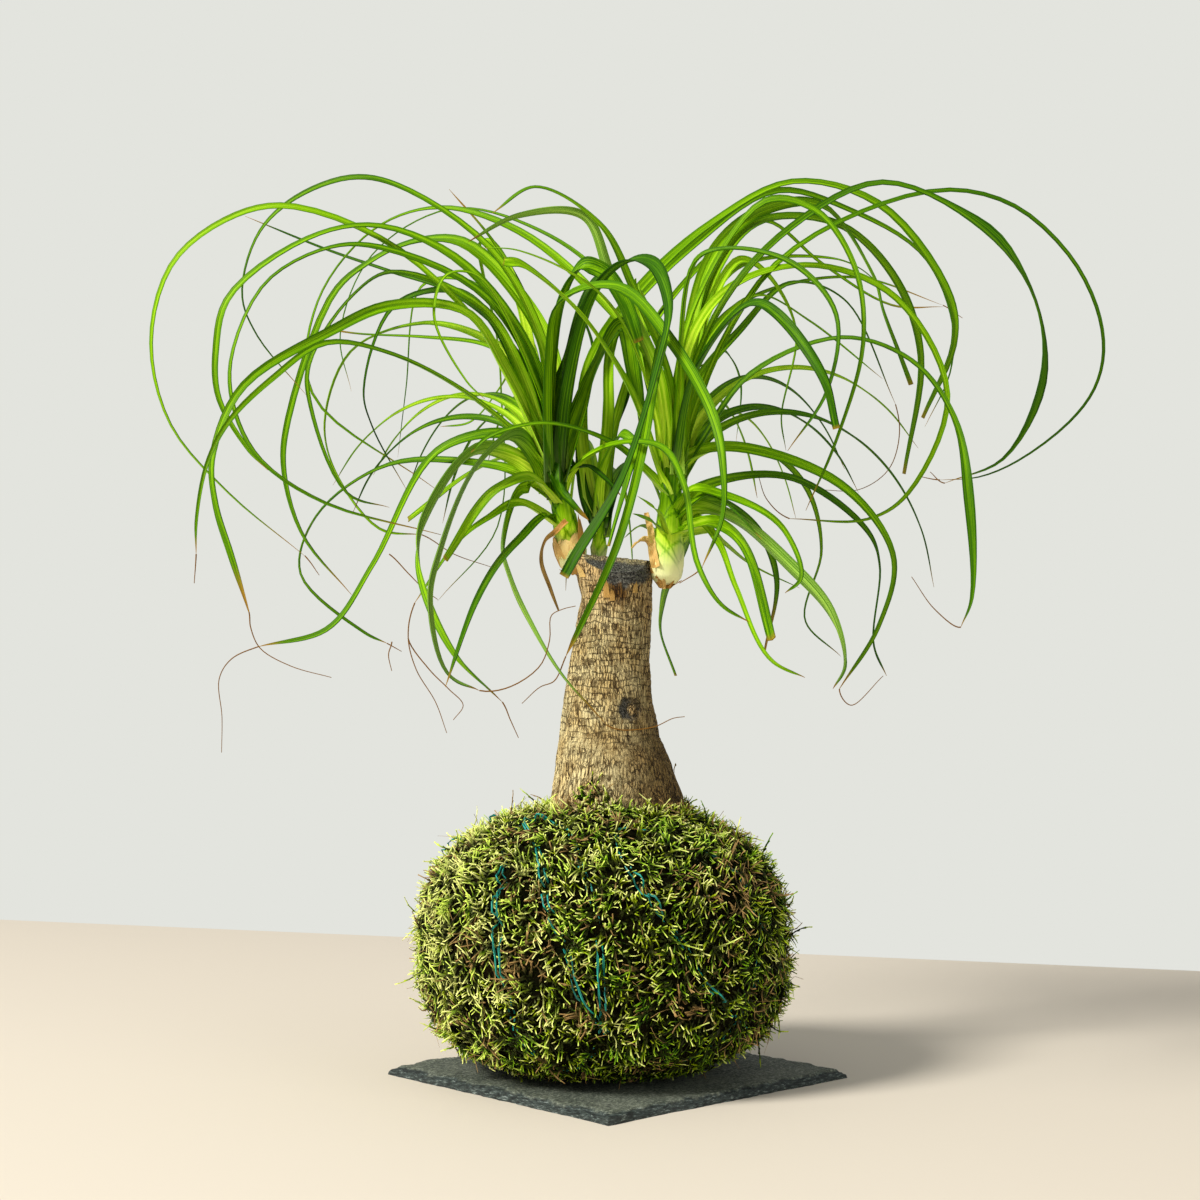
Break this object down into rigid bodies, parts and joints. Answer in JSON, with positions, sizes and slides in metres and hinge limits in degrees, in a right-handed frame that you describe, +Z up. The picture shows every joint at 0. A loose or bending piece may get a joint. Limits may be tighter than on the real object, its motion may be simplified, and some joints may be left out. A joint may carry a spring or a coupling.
{
  "type": "kokedama moss ball plant",
  "caption": "Ponytail palm with long arching leaves on a thick bark trunk, rooted in a thread-bound moss ball that rests on a square slate tile.",
  "frame": {"origin": "middle of the slate tile's underside", "axes": "+X to the right and -Y towards the viewer of the picture, +Z up; the tile stands with a corner to the front"},
  "size_m": [0.6017, 0.4539, 0.5711],
  "materials": {
    "slate": "riven slate, dry, chipped at the edges",
    "soil": "damp fibrous soil",
    "moss": "living sheet moss",
    "thread": "twisted thread",
    "bark": "cracked corky bark",
    "leaf": "smooth waxy leaf",
    "dry_leaf": "papery dried leaf"
  },
  "bodies": {
    "root": {"slate_tile": "slate", "soil_ball": "soil", "moss_layer": "moss", "binding_thread": "thread", "trunk": "bark", "left_shoot": "leaf", "middle_shoot": "leaf", "right_shoot": "leaf", "left_dry_leaf": "dry_leaf", "right_dry_sheath": "dry_leaf"}
  },
  "joints": []
}
